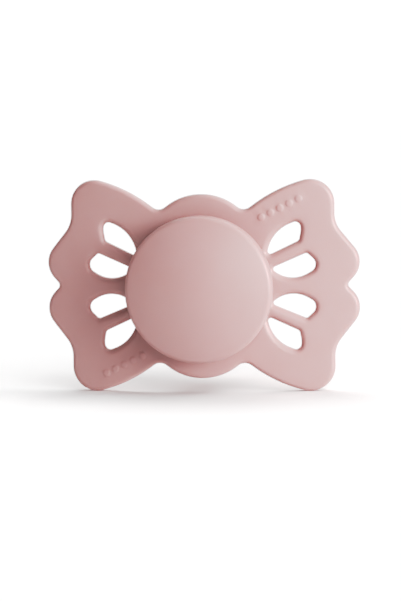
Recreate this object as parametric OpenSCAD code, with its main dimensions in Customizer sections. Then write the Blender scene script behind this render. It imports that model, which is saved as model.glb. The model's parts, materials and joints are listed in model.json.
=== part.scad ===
// Baby pacifier: a bent butterfly shield, a hollow silicone teat behind it and a domed button in front.
// Frame: +X to the right, +Y from the button towards the teat, +Z up.
// It stands on its two lower corner lobes. The origin is the middle of its footprint, at floor level.
// Millimetres. A place along the teat's axis is called w. It is counted from the middle of the plate's
// thickness: negative towards the button, positive towards the teat.

/* [Shield] */
// Overall width across the side lobes
shield_w = 64; // [60:0.5:70]
// Thickness of the plate
shield_t = 2.4; // [2.2:0.1:2.8]
// Radius that the plate is bent to, around the upright axis
bend_r = 120; // [90:5:300]

/* [Button] */
// Diameter of the button
button_d = 29.8; // [28:0.1:31]
// Length of the button's straight side
button_side = 3.4; // [2.5:0.1:5]
// Spherical radius of the domed front
dome_r = 40; // [30:1:80]
// Radius of the edge between the dome and the side
button_edge_r = 1.2; // [0.6:0.1:2]
// Wall thickness of the cap
cap_wall = 1.5; // [1.2:0.1:1.8]

/* [Teat] */
// Length behind the shield's rear ring
teat_l = 27; // [24:0.5:33]
// Largest diameter of the bulb
bulb_d = 15.6; // [14:0.2:18]
// Smallest diameter of the neck
neck_d = 10.2; // [9.8:0.1:11]
// Wall thickness of the bulb
teat_wall = 1.7; // [1.4:0.1:2]

/* [Hidden] */
$fn = 96;
arc_error = 0.015;  // largest gap between an arc and its chords
cut = 1;            // overshoot of a cutting tool

// Fits. The plug and the teat turn in the shield with run_gap around them and axial_gap behind them.
// The button's disc drops into its cap with weld_gap around it.
run_gap = 0.08;
axial_gap = 0.05;
weld_gap = 0.03;
press = 0.05;       // how much larger the plug's spigot is than the teat's bore

// Outline of the shield: corners of one quarter as [x, z, fillet radius], from the top centre to the side.
// They are for a plate whose half width is outline_reach.
quarter = [
    [0, 22, 11.5],        // centre bump
    [8.67, 15.1, 2.2],    // notch beside it
    [14.9, 19.9, 30],     // long top edge of the wing
    [26.95, 23.15, 4.95], // corner lobe
    [26.95, 12.55, 5.7],  // hollow below the corner lobe
    [33.43, 4.47, 4.6],   // side lobe
    [29.3, 0, 0.95],      // side notch
];
// Vent holes of one quarter, in the same units.
upper_vent = [
    [13.19, 6.07, 0.6],  // inner end
    [14.29, 11.25, 7.5], // long outer curve
    [20, 13.5, 1.1],     // top corner
    [20.25, 11.4, 4.2],
    [19.85, 9.22, 0.95], // corner at the spoke
];
lower_vent = [
    [13.93, 3.56, 0.6],  // inner end
    [18.26, 0.53, 6],    // belly
    [24.28, 4.02, 1.7],  // outer end
    [21.36, 6.74, 0.7],  // corner at the spoke
];

// Raised row of pips on the wing.
pip_r = 0.7;
pip_h = 0.15;
pip_count = 5;
pip_pitch = 2.1;
pip_row = [16.1, 16];  // middle of the row
pip_angle = 26;        // slope of the row

// Places and radii of the hub.
plate_front = -shield_t / 2;
plate_back = shield_t / 2;
collar_r = 9.8;
collar_top = plate_front - 2.15;
ring_r = 8.8;
ring_back = plate_back + 0.6;
seat_r = 8.28;
seat_floor = -0.25;
bore_r = 6.28;
groove_depth = 0.3;
groove_front = collar_top + 0.3;
groove_back = groove_front + 0.7;

// Teat.
flange_front = -2.05;
teat_bore_r = 4.3;      // inside of the collar that grips the plug
bore_end = 3.8;         // where that bore starts to narrow
lip_r = 6.9;            // lip behind the shield
lip_w = ring_back + 1;
lip_edge = 0.35;
neck_w = lip_w + 6.4;
teat_tip = ring_back + teat_l;
bulb_w = teat_tip - 0.53 * bulb_d;  // widest place of the bulb
profile_steps = 14;

// Retaining plug.
spigot_r = teat_bore_r + press;
spigot_end = 4.4;
barb_h = 0.35;
barb_l = 2;
barb_r = spigot_r + barb_h;
socket_r = 3;           // socket for the button's stem
socket_end = 1.2;
undercut_r = 3.3;
air_bore_r = 2;
air_cone_l = 0.6;
bead_ramp = 0.1;        // slope on the snap beads

// Button.
button_rear = collar_top - 0.25;
rear_edge_r = 0.5;
side_rear = button_rear - rear_edge_r;
side_front = side_rear - button_side;
button_r = button_d / 2;
dome_centre = side_front + sqrt(pow(dome_r - button_edge_r, 2) - pow(button_r - button_edge_r, 2));
dome_front = dome_centre - dome_r;
button_h = button_rear - dome_front;
plate_seat_r = button_r - cap_wall;
back_plate_t = 1.6;
ledge = 0.6;
hub_r = 7;
stem_r = 2.98;
stem_bead_r = 3.22;
stem_bead_w = 0.7;
stem_bore_r = 1.5;
air_hole_r = 0.5;
rib_t = 0.9;
rib_h = 2.4;
rib_count = 6;

// Arcs and outlines.
function unit(v) = v / norm(v);
function arc_steps(r, turn) = max(2, ceil(abs(turn) / (2 * acos(1 - arc_error / max(r, 0.3)))));
function arc(c, r, from, turn) = let (n = arc_steps(r, turn))
    [for (i = [0:n]) c + r * [cos(from + turn * i / n), sin(from + turn * i / n)]];
function short_turn(d) = d > 180 ? d - 360 : d < -180 ? d + 360 : d;
function corner(before, at, after) = let (
    p = [at[0], at[1]],
    u = unit([before[0], before[1]] - p),
    v = unit([after[0], after[1]] - p),
    half = acos(u * v) / 2,
    c = p + unit(u + v) * at[2] / sin(half),
    s = p + u * at[2] / tan(half) - c,
    e = p + v * at[2] / tan(half) - c,
    from = atan2(s[1], s[0])
) arc(c, at[2], from, short_turn(atan2(e[1], e[0]) - from));
function rounded(corners) = let (n = len(corners))
    [for (i = [0:n - 1]) each corner(corners[(i + n - 1) % n], corners[i], corners[(i + 1) % n])];
function mirrored(list, sx, sz) = [for (p = list) [sx * p[0], sz * p[1], p[2]]];
function backwards(list, first, last) = [for (i = [last:-1:first]) list[i]];

right_half = concat(quarter, mirrored(backwards(quarter, 0, len(quarter) - 2), 1, -1));
whole_loop = concat(right_half, mirrored(backwards(right_half, 1, len(right_half) - 2), -1, 1));
raw_outline = rounded(whole_loop);
outline_reach = max([for (p = raw_outline) p[0]]);
scale_k = shield_w / 2 / outline_reach;
outline = raw_outline * scale_k;

// Where the axis lies in the part's frame.
axis_z = max([for (p = outline) p[1]]);
axis_y = -(dome_front + teat_tip) / 2;

// How far the bent plate falls back at distance x from the middle.
function sag(x) = bend_r - sqrt(bend_r * bend_r - x * x);

// Radius of the teat's outside at w, from the lip to the widest place of the bulb.
function ease(a, b, t) = a + (b - a) * (1 - cos(180 * t)) / 2;
function teat_r(w) = w < neck_w
    ? ease(lip_r, neck_d / 2, (w - lip_w) / (neck_w - lip_w))
    : ease(neck_d / 2, bulb_d / 2, (w - neck_w) / (bulb_w - neck_w));
function stations(from, to) = [for (i = [0:profile_steps]) from + (to - from) * i / profile_steps];
// The bulb's rounded end, as a quarter of an ellipse from its widest point to the axis.
function bulb_end(r, l) = [for (i = [0:profile_steps])
    [r * cos(90 * i / profile_steps), bulb_w + l * sin(90 * i / profile_steps)]];

module placed() {
    translate([0, axis_y, axis_z]) children();
}

// A round bar along the axis, from w = a to w = b.
module bar(a, b, r) {
    translate([0, a, 0]) rotate([-90, 0, 0]) cylinder(h = b - a, r = r);
}

// Turns a profile of [radius, w] points around the axis.
module turned(profile) {
    rotate([-90, 0, 0]) rotate_extrude() polygon(profile);
}

// An outline of [x, z] points, as a prism along the axis from w = a to w = b.
module prism(points, a, b) {
    translate([0, b, 0]) rotate([90, 0, 0]) linear_extrude(height = b - a) polygon(points);
}

module bent_slab() {
    translate([0, bend_r, -shield_w / 2]) difference() {
        cylinder(h = shield_w, r = bend_r + shield_t / 2, $fn = 360);
        translate([0, 0, -cut]) cylinder(h = shield_w + 2 * cut, r = bend_r - shield_t / 2, $fn = 360);
    }
}

module vents() {
    for (sx = [-1, 1], sz = [-1, 1], vent = [upper_vent, lower_vent])
        prism(rounded(mirrored(vent, sx, sz)) * scale_k, -shield_t, bend_r / 4);
}

module pips() {
    for (turn = [0, 180], i = [0:pip_count - 1]) {
        along = (i - (pip_count - 1) / 2) * pip_pitch;
        x = pip_row[0] + along * cos(pip_angle);
        z = pip_row[1] + along * sin(pip_angle);
        rotate([0, turn, 0]) translate([x, 0, z])
            bar(sag(x) + plate_front - pip_h, sag(x), pip_r);
    }
}

// Bent plate with eight vent holes, a collar that holds the plug, and a ring behind for the teat.
module shield() {
    color([0.83, 0.62, 0.60]) placed() difference() {
        union() {
            intersection() {
                prism(outline, -shield_t, bend_r / 4);
                bent_slab();
            }
            bar(collar_top, 0, collar_r);
            bar(0, ring_back, ring_r);
            pips();
        }
        vents();
        bar(collar_top - cut, seat_floor, seat_r);
        bar(groove_front, groove_back, seat_r + groove_depth);
        bar(seat_floor - cut, ring_back + cut, bore_r);
    }
}

// One hollow silicone moulding: clamped flange, collar through the shield, lip, neck and bulb.
module teat() {
    neck_r_inside = neck_d / 2 - teat_wall;
    outside = concat(
        [[seat_r - run_gap, flange_front], [seat_r - run_gap, seat_floor - axial_gap],
         [bore_r - run_gap, seat_floor - axial_gap], [bore_r - run_gap, ring_back + axial_gap],
         [lip_r - lip_edge, ring_back + axial_gap], [lip_r, ring_back + axial_gap + lip_edge]],
        [for (w = stations(lip_w, neck_w)) [teat_r(w), w]],
        [for (w = stations(neck_w, bulb_w)) if (w > neck_w) [teat_r(w), w]],
        [for (p = bulb_end(bulb_d / 2, teat_tip - bulb_w)) if (p[1] > bulb_w) p]
    );
    inside = concat(
        [[teat_bore_r, flange_front], [teat_bore_r, bore_end]],
        [for (w = stations(bore_end, neck_w)) if (w > bore_end)
            [ease(teat_bore_r, neck_r_inside, (w - bore_end) / (neck_w - bore_end)), w]],
        [for (w = stations(neck_w, bulb_w)) if (w > neck_w) [teat_r(w) - teat_wall, w]],
        [for (p = bulb_end(bulb_d / 2 - teat_wall, teat_tip - bulb_w - teat_wall)) if (p[1] > bulb_w) p]
    );
    color([0.86, 0.66, 0.63]) placed()
        turned(concat(outside, backwards(inside, 0, len(inside) - 1)));
}

// Disc that clamps the teat's flange and snaps into the collar, with a barbed spigot in the teat's bore.
module retaining_plug() {
    disc_r = seat_r - run_gap;
    bead_r = disc_r + groove_depth;
    bead_front = groove_front + run_gap;
    bead_back = groove_back - run_gap;
    color([0.83, 0.62, 0.60]) placed() turned([
        [socket_r, collar_top],
        [disc_r, collar_top], [disc_r, bead_front], [bead_r, bead_front + bead_ramp],
        [bead_r, bead_back - bead_ramp], [disc_r, bead_back], [disc_r, flange_front],
        [spigot_r, flange_front], [spigot_r, spigot_end - barb_l], [barb_r, spigot_end - barb_l + barb_h],
        [spigot_r - barb_h, spigot_end],
        [air_bore_r, spigot_end], [air_bore_r, socket_end + air_cone_l],
        [undercut_r, socket_end], [undercut_r, 2 * bead_ramp], [socket_r, 0],
    ]);
}

// Disc that closes the button from behind. Its hollow stem snaps into the plug and lets the teat's air out.
module button_back() {
    disc_front = button_rear - back_plate_t;
    disc_r = plate_seat_r - weld_gap;
    stem_end = socket_end - bead_ramp;
    color([0.83, 0.62, 0.60]) placed() difference() {
        turned([
            [stem_bore_r, disc_front], [disc_r, disc_front], [disc_r, button_rear],
            [hub_r, button_rear], [hub_r, collar_top], [stem_r, collar_top],
            [stem_r, stem_bead_w - 2 * bead_ramp], [stem_bead_r, stem_bead_w - bead_ramp],
            [stem_bead_r, stem_bead_w + bead_ramp], [stem_r - bead_ramp, stem_end], [stem_bore_r, stem_end],
        ]);
        // Air groove across the hub, from the stem's bore to the gap in front of the shield.
        translate([0, (button_rear + collar_top) / 2, 0]) rotate([0, 90, 0])
            cylinder(h = 2 * (hub_r + cut), r = air_hole_r, center = true, $fn = 24);
    }
}

// Domed shell with a ledge that seats the back disc, and ribs that stiffen the dome.
module button_cap() {
    edge_centre = [button_r - button_edge_r, side_front];
    lean = asin(edge_centre[0] / (dome_r - button_edge_r));
    inner_r = plate_seat_r - ledge;
    inner_dome_r = dome_r - cap_wall;
    ledge_w = button_rear - back_plate_t;
    outside = concat(
        arc([0, dome_centre], dome_r, -90, lean),
        arc(edge_centre, button_edge_r, lean - 90, 90 - lean),
        arc([button_r - rear_edge_r, side_rear], rear_edge_r, 0, 90)
    );
    inside = concat(
        [[plate_seat_r, button_rear], [plate_seat_r, ledge_w], [inner_r, ledge_w]],
        arc([0, dome_centre], inner_dome_r, asin(inner_r / inner_dome_r) - 90, -asin(inner_r / inner_dome_r))
    );
    color([0.87, 0.70, 0.68]) placed() union() {
        turned(concat(outside, inside));
        intersection() {
            translate([0, dome_centre, 0]) sphere(r = dome_r - cap_wall / 2);
            bar(dome_front, dome_front + cap_wall + rib_h, inner_r + ledge / 2);
            for (i = [0:rib_count / 2 - 1]) rotate([0, 360 / rib_count * i, 0])
                translate([-button_r, dome_front, -rib_t / 2]) cube([button_d, button_h, rib_t]);
        }
    }
}

shield();
teat();
retaining_plug();
button_back();
button_cap();
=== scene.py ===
"""Looks of the pacifier: smooth meshes, plastics and silicone, light and camera, round the CAD frame."""

import json
import math

import bmesh
import bpy
import numpy as np
from mathutils import Matrix, Vector
from mathutils.geometry import delaunay_2d_cdt


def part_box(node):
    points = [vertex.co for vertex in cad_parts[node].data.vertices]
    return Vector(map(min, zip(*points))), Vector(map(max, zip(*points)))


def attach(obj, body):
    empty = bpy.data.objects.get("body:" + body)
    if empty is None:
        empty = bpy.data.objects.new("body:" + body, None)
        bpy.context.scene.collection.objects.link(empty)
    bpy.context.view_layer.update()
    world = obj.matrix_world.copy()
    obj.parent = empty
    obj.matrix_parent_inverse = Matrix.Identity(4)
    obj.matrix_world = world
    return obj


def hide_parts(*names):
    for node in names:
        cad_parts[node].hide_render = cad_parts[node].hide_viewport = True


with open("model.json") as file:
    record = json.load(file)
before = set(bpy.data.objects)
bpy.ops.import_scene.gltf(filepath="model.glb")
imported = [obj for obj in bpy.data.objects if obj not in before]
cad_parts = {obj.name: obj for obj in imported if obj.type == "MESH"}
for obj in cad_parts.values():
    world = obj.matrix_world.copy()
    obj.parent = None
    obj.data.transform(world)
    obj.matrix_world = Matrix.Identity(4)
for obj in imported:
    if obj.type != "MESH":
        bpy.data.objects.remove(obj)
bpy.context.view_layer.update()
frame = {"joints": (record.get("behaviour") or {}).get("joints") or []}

# Shapes are worked out in millimetres around the teat's axis: x to the right, z up, and w along the axis,
# from the middle of the shield's plate, negative towards the button and positive towards the teat.
MM = 0.001
HINGE = frame["joints"][0]
AXIS = Vector(HINGE["pos_m"])


def along(y):
    """w of a place given by its y in the frame."""
    return (y - AXIS.y) / MM


SHIELD_LOW, SHIELD_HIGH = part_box("shield")
TEAT_LOW, TEAT_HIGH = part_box("teat")
PLUG_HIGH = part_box("retaining_plug")[1]
CAP_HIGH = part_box("button_cap")[1]

# Fillets of the moulded edges, from the finest to the widest.
FINE_R = 0.05
SMALL_R = 0.1
SOFT_R = 0.15
WIDE_R = 0.2
WIDEST_R = 0.3

# Shield.
SHIELD_HALF_W = SHIELD_HIGH.x / MM
THICK = 2.4
BEND_R = 120.0
EDGE_R = 0.8            # rounding of the outer edge
VENT_EDGE_R = 1.15      # rounding round the vents
PART_LINE = 0.03        # how far the moulding's parting line stands out of the edge
COLLAR_TOP = along(SHIELD_LOW.y)
COLLAR_R = 9.8
RING_BACK = THICK / 2 + 0.6
RING_R = 8.8
SEAT_R = 8.28
SEAT_FLOOR = -0.25
BORE_R = 6.28
GROOVE_DEPTH = 0.3
GROOVE_FRONT = COLLAR_TOP + 0.3
GROOVE_BACK = GROOVE_FRONT + 0.7
HUB_FILLET = 0.6
RING_FILLET = 0.25
RIM_R = 0.35            # rounding of the collar's and the rear ring's outer rims
LEAD_R = 0.2            # rounding where the plug and the teat go in

# Corners of a quarter of the shield's outline, as (x, z, fillet radius), from the top centre to the side.
# They are for a plate that reaches a little further than SHIELD_HALF_W, and are scaled to it.
QUARTER = [
    (0, 22, 11.5),
    (8.67, 15.1, 2.2),
    (14.9, 19.9, 30),
    (26.95, 23.15, 4.95),
    (26.95, 12.55, 5.7),
    (33.43, 4.47, 4.6),
    (29.3, 0, 0.95),
]
UPPER_VENT = [
    (13.19, 6.07, 0.6),
    (14.29, 11.25, 7.5),
    (20, 13.5, 1.1),
    (20.25, 11.4, 4.2),
    (19.85, 9.22, 0.95),
]
LOWER_VENT = [
    (13.93, 3.56, 0.6),
    (18.26, 0.53, 6),
    (24.28, 4.02, 1.7),
    (21.36, 6.74, 0.7),
]

# Pips on two of the wings.
PIP_R = 0.7
PIP_H = 0.15
PIP_COUNT = 5
PIP_PITCH = 2.1
PIP_ROW = (16.1, 16.0)
PIP_ANGLE = math.radians(26)
PIP_FOOT = 1.25         # where a pip's soft foot ends, in pip radii
PIP_FULLNESS = 0.8      # less makes the pips fuller
PIP_RINGS = (0.3, 0.55, 0.75, 0.9, 1.02, 1.13, PIP_FOOT)
PIP_STEPS = 18

# Teat.
FLANGE_FRONT = along(TEAT_LOW.y)
TEAT_TIP = along(TEAT_HIGH.y)
TEAT_BORE_R = 4.3
TEAT_BORE_END = 3.8
TEAT_WALL = 1.7
BULB_R = 7.8
NECK_R = 5.1
LIP_R = 6.9
LIP_W = RING_BACK + 1
NECK_W = LIP_W + 6.4
BULB_W = TEAT_TIP - 1.06 * BULB_R
TEAT_STEPS = 40         # steps along each curve of the teat

# Plug.
PLUG_END = along(PLUG_HIGH.y)
SPIGOT_R = 4.35
BARB_H = 0.35
BARB_LENGTH = 2.0
BEAD_R = 0.08           # rounding of the snap bead
BEAD_LEAD = 0.1         # how far the bead's sides slope
SOCKET_R = 3.0
SOCKET_END = 1.2
SOCKET_TAPER = 0.6
UNDERCUT_R = 3.3
UNDERCUT_FRONT = 0.2
AIR_BORE_R = 2.0
RUN_GAP = 0.08
AXIAL_GAP = 0.05

# Button.
BUTTON_R = CAP_HIGH.x / MM
BUTTON_REAR = along(CAP_HIGH.y)
BUTTON_SIDE = 3.4
BUTTON_EDGE_R = 1.2
REAR_EDGE_R = 0.5
DOME_R = 40.0
CAP_WALL = 1.5
LEDGE = 0.6
DISC_T = 1.6
WELD_GAP = 0.03
HUB_R = 7.0
STEM_R = 2.98
STEM_BEAD_R = 3.22
STEM_BEAD_W = 0.7
STEM_END = SOCKET_END - 0.1
STEM_BORE_R = 1.5
AIR_GROOVE_R = 0.5
RIB_T = 0.9
RIB_H = 2.4
RIB_COUNT = 6

# How finely the meshes are split.
TURN_STEPS = 160        # steps round a turned piece
EDGE_STEPS = 7          # steps over half a rounded edge
HUB_STEPS = 6           # steps over a fillet of the collar or the ring
DOME_STEPS = 40         # steps from the middle of the dome to its edge
CAP_EDGE_STEPS = 14     # steps over the edge between the dome and the side
REAR_EDGE_STEPS = 8
HIDDEN_STEPS = 24       # steps along the curves inside the button
FEWEST_STEPS = 5        # steps over the smallest fillets
OUTLINE_STEP = 0.5      # spacing in millimetres: on the bends of the shield's outline,
STRAIGHT_STEP = 1.0     # on the straight runs,
VENT_STEP = 0.35        # on the bends of the vents,
PROFILE_STEP = 0.12     # on the fillets of turned pieces,
FACE_STEP = 1.15        # and on the plate's faces
FACE_MARGIN = 0.6       # least gap between a face's points and its edges, in spacings
SAME_PLACE = 1e-4       # millimetres under which two points of an outline are one
MERGE = 1e-6
SHARP = math.radians(32)

# Studio, in metres and light levels. The response is in pairs of scene light and shown light.
WORLD_LIGHT = 0.015
FLOOR_HALF = 1.4
FLOOR_GAP = 0.0005      # depth of the floor's lower layer
FLOOR_BOUNCE = (0.8, 0.8, 0.8)
BACKDROP_R = 1.5
BACKDROP_GLOW = 1.2
LAMP_DISTANCE = 1.0
WHITE = (1.0, 1.0, 1.0)
WARM = (1.0, 0.86, 0.83)
RESPONSE = [(0.06, 0.072), (0.12, 0.18), (0.23, 0.41), (0.385, 0.6), (0.58, 0.725), (0.77, 0.83)]


# ---------------------------------------------------------------- outlines

def unit(v):
    return np.asarray(v, float) / np.linalg.norm(v)


def fillet(before, at, after, step):
    """Points of the arc that rounds one corner, in order. The corner is (a, b, radius)."""
    p = np.array(at[:2], float)
    radius = at[2]
    if radius <= 0:
        return [p]
    u = unit(np.array(before[:2]) - p)
    v = unit(np.array(after[:2]) - p)
    half = math.acos(float(np.clip(u @ v, -1, 1))) / 2
    centre = p + unit(u + v) * radius / math.sin(half)
    start = p + u * radius / math.tan(half) - centre
    end = p + v * radius / math.tan(half) - centre
    first = math.atan2(start[1], start[0])
    turn = math.remainder(math.atan2(end[1], end[0]) - first, math.tau)
    count = max(FEWEST_STEPS, math.ceil(abs(turn) * radius / step))
    angles = first + turn * np.arange(count + 1) / count
    return [centre + radius * np.array([math.cos(a), math.sin(a)]) for a in angles]


def rounded(corners, step=OUTLINE_STEP):
    """A closed outline through rounded corners, with its straight runs split too."""
    n = len(corners)
    arcs = [fillet(corners[i - 1], corners[i], corners[(i + 1) % n], step) for i in range(n)]
    points = []
    for i, bend in enumerate(arcs):
        points += bend
        gap = arcs[(i + 1) % n][0] - bend[-1]
        count = math.ceil(np.linalg.norm(gap) / STRAIGHT_STEP)
        points += [bend[-1] + gap * k / count for k in range(1, count)]
    kept = [p for i, p in enumerate(points) if np.linalg.norm(p - points[i - 1]) > SAME_PLACE]
    return np.array(kept)


def mirrored(corners, sx, sz):
    return [(sx * x, sz * z, r) for x, z, r in corners]


def shield_outline():
    """The outline and the scale that brings it to the shield's width."""
    right = QUARTER + mirrored(QUARTER[-2::-1], 1, -1)
    whole = right + mirrored(right[-2:0:-1], -1, 1)
    raw = rounded(whole)
    scale = SHIELD_HALF_W / raw[:, 0].max()
    return raw * scale, scale


def turned_left(loop, material_inside):
    """The loop, running so that the material is on its left."""
    x, z = loop[:, 0], loop[:, 1]
    area = np.sum(x * np.roll(z, -1) - np.roll(x, -1) * z) / 2
    return loop if (area > 0) == material_inside else loop[::-1]


def inward(loop):
    """The unit normal at each point of a loop, pointing to its left."""
    along_edge = np.roll(loop, -1, 0) - loop
    along_edge /= np.linalg.norm(along_edge, axis=1)[:, None]
    tangent = along_edge + np.roll(along_edge, 1, 0)
    tangent /= np.linalg.norm(tangent, axis=1)[:, None]
    return np.stack([-tangent[:, 1], tangent[:, 0]], 1)


def inside(points, loop):
    """Which of the points lie inside a closed loop."""
    x, z = points[:, 0][:, None], points[:, 1][:, None]
    x0, z0 = loop[:, 0], loop[:, 1]
    x1, z1 = np.roll(x0, -1), np.roll(z0, -1)
    crosses = (z0 > z) != (z1 > z)
    with np.errstate(divide="ignore", invalid="ignore"):
        at = x0 + (z - z0) * (x1 - x0) / (z1 - z0)
    return (np.sum(crosses & (x < at), 1) % 2).astype(bool)


def nearest(points, others):
    """Distance from each point to the nearest of the others."""
    gaps = [np.min(np.linalg.norm(others - p, axis=1)) for p in points]
    return np.array(gaps)


# ---------------------------------------------------------------- meshes

def make_solid(name, points, faces):
    """An object from points (x, w, z) in millimetres round the axis."""
    mesh = bpy.data.meshes.new(name)
    mesh.from_pydata([AXIS + Vector(p) * MM for p in points], [], faces)
    mesh.validate()
    bm = bmesh.new()
    bm.from_mesh(mesh)
    bmesh.ops.recalc_face_normals(bm, faces=bm.faces)
    bm.to_mesh(mesh)
    bm.free()
    solid = bpy.data.objects.new(name, mesh)
    bpy.context.scene.collection.objects.link(solid)
    return solid


def make_piece(name, points, faces, body, replaced, tools=(), operation="UNION"):
    """A smooth mesh piece. The tools are solids that are joined to it, or cut out with DIFFERENCE."""
    piece = make_solid(name, points, faces)
    for tool in tools:
        combine(piece, tool, operation)
    smooth(piece)
    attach(piece, body)
    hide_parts(replaced)
    return piece


def combine(piece, tool, operation):
    """Joins a solid to the piece, or cuts it out, for good."""
    solid = make_solid("tool", tool.points, tool.faces)
    change = piece.modifiers.new("combine", "BOOLEAN")
    change.operation = operation
    change.solver = "EXACT"
    change.object = solid
    before = piece.data
    view = bpy.context.evaluated_depsgraph_get()
    after = bpy.data.meshes.new_from_object(piece.evaluated_get(view))
    piece.modifiers.clear()
    piece.data = after
    after.name = before.name
    bpy.data.meshes.remove(before)
    bpy.data.objects.remove(solid)


def smooth(piece):
    piece.data.polygons.foreach_set("use_smooth", [True] * len(piece.data.polygons))
    piece.data.set_sharp_from_angle(angle=SHARP)


class Shell:
    """Points and faces of a mesh while it is being built."""

    def __init__(self):
        self.points = []
        self.faces = []

    def add(self, points):
        first = len(self.points)
        self.points += [tuple(map(float, p)) for p in points]
        return list(range(first, len(self.points)))

    def strip(self, a, b):
        """Quads between two closed rings with the same number of points."""
        n = len(a)
        self.faces += [(a[i], a[(i + 1) % n], b[(i + 1) % n], b[i]) for i in range(n)]

    def strips(self, rings):
        for a, b in zip(rings, rings[1:]):
            self.strip(a, b)


def plate_face(x, side):
    """w of the bent plate's front (side -1) or back (side 1) at x."""
    radius = BEND_R - side * THICK / 2
    return BEND_R - np.sqrt(radius * radius - np.square(x))


def plate_w(x, share):
    """w at a share of the plate's thickness: -1 is the front, 0 the middle and 1 the back."""
    front, back = plate_face(x, -1), plate_face(x, 1)
    return (front + back) / 2 + share * (back - front) / 2


def pip_places():
    """Centres of the pips, on the upper right wing and, half a turn round, on the lower left wing."""
    steps = (np.arange(PIP_COUNT) - (PIP_COUNT - 1) / 2) * PIP_PITCH
    row = np.stack([PIP_ROW[0] + steps * math.cos(PIP_ANGLE), PIP_ROW[1] + steps * math.sin(PIP_ANGLE)], 1)
    return np.concatenate([row, -row])


def pip_height(points, pips):
    """How far the front stands out at each point because of the pips: a flat top and a soft foot."""
    gap = nearest(points, pips) / (PIP_R * PIP_FOOT)
    return PIP_H * np.where(gap < 1, 1 - gap**4 * (3 - 2 * gap**2), 0) ** PIP_FULLNESS


def circle(radius, count, centre=(0.0, 0.0)):
    turn = math.tau * np.arange(count) / count
    return np.stack([centre[0] + radius * np.cos(turn), centre[1] + radius * np.sin(turn)], 1)


def fill_face(shell, loops, loop_ids, extra, side, pips):
    """Triangles of one face of the plate, between loops of points that are there already."""
    outline = loops[0]
    low, high = outline.min(0), outline.max(0)
    rows = np.arange(low[1], high[1], FACE_STEP * math.sqrt(3) / 2)
    grid = [
        (x, z)
        for i, z in enumerate(rows)
        for x in np.arange(low[0] + (i % 2) * FACE_STEP / 2, high[0], FACE_STEP)
    ]
    grid = np.array(grid)
    fixed = np.concatenate(loops + ([extra] if len(extra) else []))
    keep = inside(grid, outline)
    for hole in loops[1:]:
        keep &= ~inside(grid, hole)
    grid = grid[keep]
    grid = grid[nearest(grid, fixed) > FACE_STEP * FACE_MARGIN]
    free = np.concatenate([extra, grid]) if len(extra) else grid
    w = plate_w(free[:, 0], side)
    if len(pips):
        w = w - pip_height(free, pips)
    free_ids = shell.add(np.stack([free[:, 0], w, free[:, 1]], 1))
    flat = np.concatenate(loops + [free])
    ids = [i for ring in loop_ids for i in ring] + free_ids
    edges = []
    first = 0
    for loop in loops:
        n = len(loop)
        edges += [(first + i, first + (i + 1) % n) for i in range(n)]
        first += n
    spots = [Vector(p) for p in flat.tolist()]
    where, _, triangles, source, _, _ = delaunay_2d_cdt(spots, edges, [], 0, MERGE)
    where = np.array([tuple(p) for p in where])
    middle = np.array([where[list(t)].mean(0) for t in triangles])
    kept = inside(middle, outline)
    for hole in loops[1:]:
        kept &= ~inside(middle, hole)
    shell.faces += [tuple(ids[source[i][0]] for i in t) for t, k in zip(triangles, kept) if k]


def rounded_edge(shell, loop, radius, line=0.0):
    """Rings of a rounded edge round a loop, from the front face over the edge to the back face.
    Returns the loop on the face, moved in by the rounding, and the ids of its front and back rings."""
    normal = inward(loop)
    flat_half = THICK / 2 - radius
    profile = []
    for k in range(EDGE_STEPS, -1, -1):
        angle = math.pi / 2 * k / EDGE_STEPS
        profile.append((radius * (1 - math.cos(angle)), -(flat_half + radius * math.sin(angle))))
    if line:
        profile.append((-line, 0.0))
    profile += [(d, -h) for d, h in profile[EDGE_STEPS::-1]]
    rings = []
    for d, h in profile:
        p = loop + normal * d
        rings.append(shell.add(np.stack([p[:, 0], plate_w(p[:, 0], h / (THICK / 2)), p[:, 1]], 1)))
    shell.strips(rings)
    return loop + normal * radius, rings[0], rings[-1]


def hub_rings(shell):
    """The collar, the plug's seat, the bore and the rear ring, as one tube from the front to the back.
    Returns the circles where it meets the plate, and the ids of its first and last rings."""
    turn = circle(1.0, TURN_STEPS)
    quarter = [math.pi / 2 * k / HUB_STEPS for k in range(HUB_STEPS + 1)]
    bends = [(1 - math.cos(a), 1 - math.sin(a)) for a in quarter]
    rings = []

    def ring(radius, w):
        rings.append(shell.add(np.stack([turn[:, 0] * radius, w + 0 * turn[:, 0], turn[:, 1] * radius], 1)))

    for c, s in bends:
        radius = COLLAR_R + HUB_FILLET * s
        ring(radius, plate_w(turn[:, 0] * radius, -1) - HUB_FILLET * c)
    wall = [(COLLAR_R - RIM_R * c, COLLAR_TOP + RIM_R * s) for c, s in bends]
    wall += [(SEAT_R + LEAD_R * s, COLLAR_TOP + LEAD_R * c) for c, s in bends]
    wall += [(SEAT_R, GROOVE_FRONT), (SEAT_R + GROOVE_DEPTH, GROOVE_FRONT)]
    wall += [(SEAT_R + GROOVE_DEPTH, GROOVE_BACK), (SEAT_R, GROOVE_BACK)]
    wall += [(SEAT_R, SEAT_FLOOR), (BORE_R, SEAT_FLOOR)]
    wall += [(BORE_R + LEAD_R * c, RING_BACK - LEAD_R * s) for c, s in bends]
    wall += [(RING_R - RIM_R * s, RING_BACK - RIM_R * c) for c, s in bends]
    for radius, w in wall:
        ring(radius, w)
    for c, s in reversed(bends):
        radius = RING_R + RING_FILLET * s
        ring(radius, plate_w(turn[:, 0] * radius, 1) + RING_FILLET * c)
    shell.strips(rings)
    return turn * (COLLAR_R + HUB_FILLET), turn * (RING_R + RING_FILLET), rings[0], rings[-1]


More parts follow.
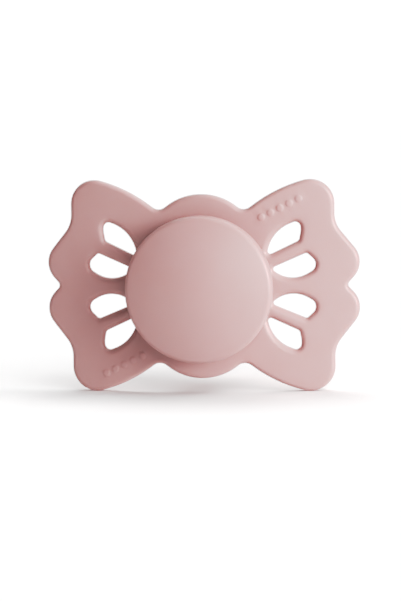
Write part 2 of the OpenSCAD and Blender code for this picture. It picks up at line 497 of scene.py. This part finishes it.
def make_shield():
    """The bent plate with rounded edges and vents, the pips, the collar and the rear ring, in one mesh."""
    shell = Shell()
    outline, scale = shield_outline()
    loops = [turned_left(outline, True)]
    for sx in (1, -1):
        for sz in (1, -1):
            for vent in (UPPER_VENT, LOWER_VENT):
                loops.append(turned_left(rounded(mirrored(vent, sx, sz), VENT_STEP) * scale, False))
    edges = [rounded_edge(shell, loops[0], EDGE_R, PART_LINE)]
    edges += [rounded_edge(shell, loop, VENT_EDGE_R) for loop in loops[1:]]
    faces, fronts, backs = (list(part) for part in zip(*edges))
    front_circle, back_circle, first, last = hub_rings(shell)
    pips = pip_places()
    pip_rings = [circle(PIP_R * share, PIP_STEPS, centre) for centre in pips for share in PIP_RINGS]
    extra = np.concatenate([pips] + pip_rings)
    fill_face(shell, faces + [front_circle], fronts + [first], extra, -1, pips)
    fill_face(shell, faces + [back_circle], backs + [last], np.zeros((0, 2)), 1, ())
    return make_piece("shield_plate", shell.points, shell.faces, "guard", "shield")


def bar_across(profile, half, turn):
    """A closed run of (across, w) points, made half thick to each side and turned round the axis."""
    bar = Shell()
    across = Vector((math.cos(turn), 0, math.sin(turn)))
    sideways = Vector((-math.sin(turn), 0, math.cos(turn)))
    ends = [
        bar.add([across * a + Vector((0, w, 0)) + sideways * side for a, w in profile])
        for side in (-half, half)
    ]
    bar.strip(*ends)
    bar.faces += [tuple(end) for end in ends]
    return bar


def turned_piece(name, profile, body, replaced, tools=(), operation="UNION"):
    """A closed profile of (radius, w) points, turned round the axis."""
    shell = Shell()
    turn = circle(1.0, TURN_STEPS)
    rings = []
    for radius, w in profile:
        ring = np.stack([turn[:, 0] * radius, np.full(TURN_STEPS, w), turn[:, 1] * radius], 1)
        rings.append(shell.add(ring if radius > MERGE else [(0, w, 0)]))
    for i, a in enumerate(rings):
        b = rings[(i + 1) % len(rings)]
        if len(a) > 1 and len(b) > 1:
            shell.strip(a, b)
        elif len(a) > 1 or len(b) > 1:
            pole, ring = (a, b) if len(a) == 1 else (b, a)
            shell.faces += [(pole[0], ring[k], ring[(k + 1) % TURN_STEPS]) for k in range(TURN_STEPS)]
    return make_piece(name, shell.points, shell.faces, body, replaced, tools, operation)


def arc(centre, radius, first, turn, count):
    """Points of an arc in (radius, w), angles in radians."""
    angles = first + turn * np.arange(count + 1) / count
    return [(centre[0] + radius * math.cos(a), centre[1] + radius * math.sin(a)) for a in angles]


def profile_of(corners, step=PROFILE_STEP):
    """A list of (radius, w, fillet) corners as an open run of points: the first and last stay sharp."""
    points = []
    for i, at in enumerate(corners):
        if i in (0, len(corners) - 1) or len(at) < 3:
            points.append(tuple(at[:2]))
        else:
            points += [tuple(p) for p in fillet(corners[i - 1], at, corners[i + 1], step)]
    return points


def ease(a, b, t):
    return a + (b - a) * (1 - math.cos(math.pi * t)) / 2


def make_teat():
    """One hollow moulding: clamped flange, collar through the shield, lip, neck and bulb."""
    steps = [k / TEAT_STEPS for k in range(TEAT_STEPS)]
    neck_in = NECK_R - TEAT_WALL
    flange_r, collar_r = SEAT_R - RUN_GAP, BORE_R - RUN_GAP
    lip_front = RING_BACK + AXIAL_GAP
    outside = profile_of([
        (TEAT_BORE_R, FLANGE_FRONT),
        (flange_r, FLANGE_FRONT, WIDE_R),
        (flange_r, SEAT_FLOOR - AXIAL_GAP, WIDE_R),
        (collar_r, SEAT_FLOOR - AXIAL_GAP, FINE_R),
        (collar_r, lip_front, FINE_R),
        (LIP_R, lip_front, WIDEST_R),
        (LIP_R, LIP_W),
    ])
    outside += [(ease(LIP_R, NECK_R, t), LIP_W + (NECK_W - LIP_W) * t) for t in steps[1:]]
    outside += [(ease(NECK_R, BULB_R, t), NECK_W + (BULB_W - NECK_W) * t) for t in steps]
    inside_run = [
        (ease(TEAT_BORE_R, neck_in, t), TEAT_BORE_END + (NECK_W - TEAT_BORE_END) * t) for t in steps
    ]
    inside_run += [
        (ease(NECK_R, BULB_R, t) - TEAT_WALL, NECK_W + (BULB_W - NECK_W) * t) for t in steps
    ]

    def bulb_end(radius, length):
        angles = [math.pi / 2 * t for t in steps]
        run = [(radius * math.cos(a), BULB_W + length * math.sin(a)) for a in angles]
        return run + [(0.0, BULB_W + length)]

    outside += bulb_end(BULB_R, TEAT_TIP - BULB_W)
    inside_run += bulb_end(BULB_R - TEAT_WALL, TEAT_TIP - BULB_W - TEAT_WALL)
    return turned_piece("teat_silicone", outside + inside_run[::-1], "button", "teat")


def make_plug():
    """Disc with a snap bead and a barbed spigot."""
    disc_r = SEAT_R - RUN_GAP
    bead_r = disc_r + GROOVE_DEPTH
    bead_front, bead_back = GROOVE_FRONT + RUN_GAP, GROOVE_BACK - RUN_GAP
    profile = profile_of([
        (SOCKET_R, COLLAR_TOP),
        (disc_r, COLLAR_TOP, SOFT_R),
        (disc_r, bead_front, FINE_R),
        (bead_r, bead_front + BEAD_LEAD, BEAD_R),
        (bead_r, bead_back - BEAD_LEAD, BEAD_R),
        (disc_r, bead_back, FINE_R),
        (disc_r, FLANGE_FRONT, SMALL_R),
        (SPIGOT_R, FLANGE_FRONT, SMALL_R),
        (SPIGOT_R, PLUG_END - BARB_LENGTH, SMALL_R),
        (SPIGOT_R + BARB_H, PLUG_END - BARB_LENGTH + BARB_H, SMALL_R),
        (SPIGOT_R - BARB_H, PLUG_END, WIDE_R),
        (AIR_BORE_R, PLUG_END, WIDE_R),
        (AIR_BORE_R, SOCKET_END + SOCKET_TAPER, SMALL_R),
        (UNDERCUT_R, SOCKET_END, SMALL_R),
        (UNDERCUT_R, UNDERCUT_FRONT, SMALL_R),
        (SOCKET_R, 0.0, SMALL_R),
        (SOCKET_R, COLLAR_TOP + SMALL_R),
    ])
    return turned_piece("plug_moulding", profile, "button", "retaining_plug")


def make_button_back():
    """Disc that closes the button, with a hollow snap stem and an air groove across its hub."""
    disc_r = BUTTON_R - CAP_WALL - WELD_GAP
    disc_front = BUTTON_REAR - DISC_T
    profile = profile_of([
        (STEM_BORE_R, disc_front + SMALL_R),
        (STEM_BORE_R + SMALL_R, disc_front, SMALL_R),
        (disc_r, disc_front, SOFT_R),
        (disc_r, BUTTON_REAR, SOFT_R),
        (HUB_R, BUTTON_REAR, SMALL_R),
        (HUB_R, COLLAR_TOP, SMALL_R),
        (STEM_R, COLLAR_TOP, SMALL_R),
        (STEM_R, STEM_BEAD_W - 2 * BEAD_LEAD, FINE_R),
        (STEM_BEAD_R, STEM_BEAD_W - BEAD_LEAD, FINE_R),
        (STEM_BEAD_R, STEM_BEAD_W + BEAD_LEAD, FINE_R),
        (STEM_R - SMALL_R, STEM_END, SOFT_R),
        (STEM_BORE_R, STEM_END),
    ])
    middle = (BUTTON_REAR + COLLAR_TOP) / 2
    section = arc((0.0, middle), AIR_GROOVE_R, 0, math.tau, HIDDEN_STEPS)[:-1]
    groove = bar_across(section, HUB_R + 1, math.pi / 2)
    return turned_piece(
        "button_back_disc", profile, "button", "button_back", [groove], "DIFFERENCE"
    )


def make_button_cap():
    """Domed shell with a ledge for the disc, and ribs across the inside of the dome."""
    side_rear = BUTTON_REAR - REAR_EDGE_R
    side_front = side_rear - BUTTON_SIDE
    edge = (BUTTON_R - BUTTON_EDGE_R, side_front)
    dome = (0.0, side_front + math.sqrt((DOME_R - BUTTON_EDGE_R) ** 2 - edge[0] ** 2))
    lean = math.asin(edge[0] / (DOME_R - BUTTON_EDGE_R))
    seat_r = BUTTON_R - CAP_WALL
    inner_r = seat_r - LEDGE
    inner_dome_r = DOME_R - CAP_WALL
    inner_lean = math.asin(inner_r / inner_dome_r)
    ledge_w = BUTTON_REAR - DISC_T
    down = -math.pi / 2
    profile = [(0.0, dome[1] - DOME_R)] + arc(dome, DOME_R, down, lean, DOME_STEPS)[1:]
    profile += arc(edge, BUTTON_EDGE_R, down + lean, -down - lean, CAP_EDGE_STEPS)[1:]
    profile += arc((BUTTON_R - REAR_EDGE_R, side_rear), REAR_EDGE_R, 0, -down, REAR_EDGE_STEPS)
    profile += profile_of([
        (seat_r + WIDEST_R, BUTTON_REAR),
        (seat_r, BUTTON_REAR, SOFT_R),
        (seat_r, ledge_w, FINE_R),
        (inner_r, ledge_w, SOFT_R),
        (inner_r, ledge_w - WIDEST_R),
    ])
    profile += arc(dome, inner_dome_r, down + inner_lean, -inner_lean, HIDDEN_STEPS)[:-1]
    profile.append((0.0, dome[1] - inner_dome_r))
    root_r = DOME_R - CAP_WALL / 2
    rib_reach = inner_r + LEDGE / 2
    root_lean = math.asin(rib_reach / root_r)
    rib_rear = dome[1] - inner_dome_r + RIB_H
    rib = arc(dome, root_r, down - root_lean, 2 * root_lean, HIDDEN_STEPS)
    rib += [(rib_reach, rib_rear), (-rib_reach, rib_rear)]
    ribs = [bar_across(rib, RIB_T / 2, math.tau / RIB_COUNT * i) for i in range(RIB_COUNT // 2)]
    return turned_piece("button_dome", profile, "button", "button_cap", ribs)


# ---------------------------------------------------------------- materials

def node(nodes, kind, **values):
    made = nodes.new(kind)
    for key, value in values.items():
        if hasattr(made, key):
            setattr(made, key, value)
        else:
            made.inputs[key.replace("_", " ")].default_value = value
    return made


def surface(name, colour, deep, grain, grain_depth, rough, subsurface, subsurface_scale):
    """A moulded surface: a colour that drifts a little to a deeper one, cloudy roughness and fine grain."""
    material = bpy.data.materials.new(name)
    material.use_nodes = True
    tree = material.node_tree
    nodes, links = tree.nodes, tree.links
    nodes.clear()
    out = node(nodes, "ShaderNodeOutputMaterial")
    shader = node(nodes, "ShaderNodeBsdfPrincipled")
    links.new(shader.outputs["BSDF"], out.inputs["Surface"])
    shader.inputs["IOR"].default_value = 1.49
    shader.inputs["Subsurface Weight"].default_value = subsurface
    shader.inputs["Subsurface Radius"].default_value = (1.0, 0.45, 0.35)
    shader.inputs["Subsurface Scale"].default_value = subsurface_scale
    place = node(nodes, "ShaderNodeTexCoord")

    cloud = node(nodes, "ShaderNodeTexNoise", Scale=140.0, Detail=3.0)
    links.new(place.outputs["Object"], cloud.inputs["Vector"])
    tint = node(nodes, "ShaderNodeValToRGB")
    tint.color_ramp.elements[0].position = 0.3
    tint.color_ramp.elements[0].color = (*deep, 1)
    tint.color_ramp.elements[1].position = 0.7
    tint.color_ramp.elements[1].color = (*colour, 1)
    links.new(cloud.outputs["Fac"], tint.inputs["Fac"])
    links.new(tint.outputs["Color"], shader.inputs["Base Color"])

    polish = node(nodes, "ShaderNodeMapRange")
    polish.inputs["To Min"].default_value = rough[0]
    polish.inputs["To Max"].default_value = rough[1]
    links.new(cloud.outputs["Fac"], polish.inputs["Value"])
    links.new(polish.outputs["Result"], shader.inputs["Roughness"])

    fine = node(nodes, "ShaderNodeTexNoise", Scale=grain, Detail=2.0)
    links.new(place.outputs["Object"], fine.inputs["Vector"])
    bump = node(nodes, "ShaderNodeBump", Strength=1.0, Distance=grain_depth)
    links.new(fine.outputs["Fac"], bump.inputs["Height"])
    links.new(bump.outputs["Normal"], shader.inputs["Normal"])
    return material


# ---------------------------------------------------------------- studio

def plain(name, kind, **values):
    """A material with one shader and nothing else, for what isn't part of the object."""
    material = bpy.data.materials.new(name)
    material.use_nodes = True
    tree = material.node_tree
    tree.nodes.clear()
    out = node(tree.nodes, "ShaderNodeOutputMaterial")
    shader = node(tree.nodes, kind, **values)
    tree.links.new(shader.outputs[0], out.inputs["Surface"])
    return material


def make_studio():
    """White floor in two layers, and a white dome that only the camera sees. The camera sees the upper
    layer, and the lower one throws light back on the object. Returns the upper layer."""
    floors = []
    for name, depth, white, seen in (
        ("floor", 0, WHITE, True),
        ("floor_bounce", FLOOR_GAP, FLOOR_BOUNCE, False),
    ):
        bm = bmesh.new()
        bmesh.ops.create_grid(bm, x_segments=1, y_segments=1, size=FLOOR_HALF)
        floor = stage_mesh(name, bm, plain(name + "_white", "ShaderNodeBsdfDiffuse", Color=(*white, 1)))
        floor.location.z = SHIELD_LOW.z - depth
        floor.visible_camera = seen
        only_seen_by_camera(floor, seen)
        floors.append(floor)
    bm = bmesh.new()
    bmesh.ops.create_icosphere(bm, subdivisions=4, radius=BACKDROP_R)
    glow = plain("backdrop_white", "ShaderNodeEmission", Color=(*WHITE, 1), Strength=BACKDROP_GLOW)
    only_seen_by_camera(stage_mesh("backdrop", bm, glow), True)
    world = bpy.data.worlds.new("studio")
    world.use_nodes = True
    background = world.node_tree.nodes["Background"]
    background.inputs["Color"].default_value = (*WHITE, 1)
    background.inputs["Strength"].default_value = WORLD_LIGHT
    bpy.context.scene.world = world
    return floors[0]


def only_seen_by_camera(thing, only):
    """Hides a thing from every ray but the camera's, or shows it to them."""
    for ray in ("diffuse", "glossy", "transmission", "volume_scatter", "shadow"):
        setattr(thing, "visible_" + ray, not only)


def stage_mesh(name, bm, material):
    mesh = bpy.data.meshes.new(name)
    bm.to_mesh(mesh)
    bm.free()
    made = bpy.data.objects.new(name, mesh)
    made.data.materials.append(material)
    bpy.context.scene.collection.objects.link(made)
    return made


def make_light(name, turn, lift, spread, level, colour=WHITE):
    """Soft light from far away. turn goes from the front round to the right, lift up from the floor, and
    spread is how wide the source looks, all in degrees. At level 1 it lights a white face fully."""
    lamp = bpy.data.lights.new(name, "SUN")
    lamp.angle = math.radians(spread)
    lamp.energy = math.pi * level
    lamp.color = colour
    a, e = math.radians(turn), math.radians(lift)
    towards = Vector((math.sin(a) * math.cos(e), -math.cos(a) * math.cos(e), math.sin(e)))
    made = bpy.data.objects.new(name, lamp)
    made.location = AXIS + towards * LAMP_DISTANCE
    made.rotation_mode = "QUATERNION"
    made.rotation_quaternion = (-towards).to_track_quat("-Z", "Y")
    bpy.context.scene.collection.objects.link(made)
    return made


def share_light(lamp, thing, state):
    """Lets a light reach the thing alone (INCLUDE) or everything else (EXCLUDE)."""
    group = bpy.data.collections.new(lamp.name + "_link")
    group.objects.link(thing)
    lamp.light_linking.receiver_collection = group
    group.collection_objects[0].light_linking.link_state = state


def film_response():
    """The soft shoulder and the deep toe of a product picture."""
    view = bpy.context.scene.view_settings
    view.view_transform = "Standard"
    view.use_curve_mapping = True
    curve = view.curve_mapping.curves[3]
    for light, shown in RESPONSE:
        curve.points.new(light, shown)
    view.curve_mapping.update()


def make_camera(azimuth, elevation, roll, distance, aim_right, aim_up, view_height):
    """Camera at angles in degrees round the middle of the shield. The aim is moved in the picture's plane,
    in metres, and view_height is what the picture's long side spans at the shield."""
    a, e, tilt = (math.radians(x) for x in (azimuth, elevation, roll))
    back = Vector((math.sin(a) * math.cos(e), -math.cos(a) * math.cos(e), math.sin(e)))
    right = Vector((math.cos(a), math.sin(a), 0))
    up = back.cross(right)
    aim = AXIS + right * aim_right + up * aim_up
    leaned_right = right * math.cos(tilt) - up * math.sin(tilt)
    leaned_up = up * math.cos(tilt) + right * math.sin(tilt)
    data = bpy.data.cameras.new("camera")
    data.lens = data.sensor_width * distance / view_height
    data.clip_start = 0.01
    data.clip_end = 10
    made = bpy.data.objects.new("camera", data)
    turn = Matrix((leaned_right, leaned_up, back)).transposed().to_4x4()
    made.matrix_world = Matrix.Translation(aim + back * distance) @ turn
    bpy.context.scene.collection.objects.link(made)
    bpy.context.scene.camera = made


# ---------------------------------------------------------------- scene

film_response()
make_camera(
    azimuth=5.45,
    elevation=6.0,
    roll=0.67,
    distance=0.64,
    aim_right=-0.00027,
    aim_up=-0.00286,
    view_height=0.1226,
)
seen_floor = make_studio()
for values in (
    ("key", 57, 12, 24, 0.325),
    ("key_wide", 60, 42, 45, 0.11),
    ("front", 30, 12, 45, 0.205),
    ("right", 80, 12, 20, 0.55),
    ("top", 0, 85, 45, 0.09),
    ("behind", 180, 42, 45, 0.15, WARM),
    ("behind_left", -120, 42, 45, 0.105, WARM),
    ("behind_right", 140, 42, 45, 0.09, WARM),
):
    share_light(make_light(*values), seen_floor, "EXCLUDE")
for values in (
    ("floor_front", 30, 42, 45, 0.40),
    ("floor_right", 90, 55, 40, 0.40),
    ("floor_back", 180, 65, 40, 0.46),
):
    share_light(make_light(*values), seen_floor, "INCLUDE")

plastic = dict(
    grain=5200.0,
    grain_depth=0.00002,
    rough=(0.32, 0.4),
    subsurface=0.25,
    subsurface_scale=0.0012,
)
moulded_shield = surface("moulded_shield", (0.578, 0.342, 0.336), (0.566, 0.332, 0.324), **plastic)
moulded_button = surface("moulded_button", (0.578, 0.344, 0.339), (0.566, 0.334, 0.327), **plastic)
soft_silicone = surface(
    "soft_silicone",
    (0.72, 0.48, 0.45),
    (0.70, 0.45, 0.42),
    grain=2500.0,
    grain_depth=0.00001,
    rough=(0.28, 0.38),
    subsurface=0.85,
    subsurface_scale=0.004,
)

make_shield().data.materials.append(moulded_shield)
make_teat().data.materials.append(soft_silicone)
for build in (make_plug, make_button_back, make_button_cap):
    build().data.materials.append(moulded_button)
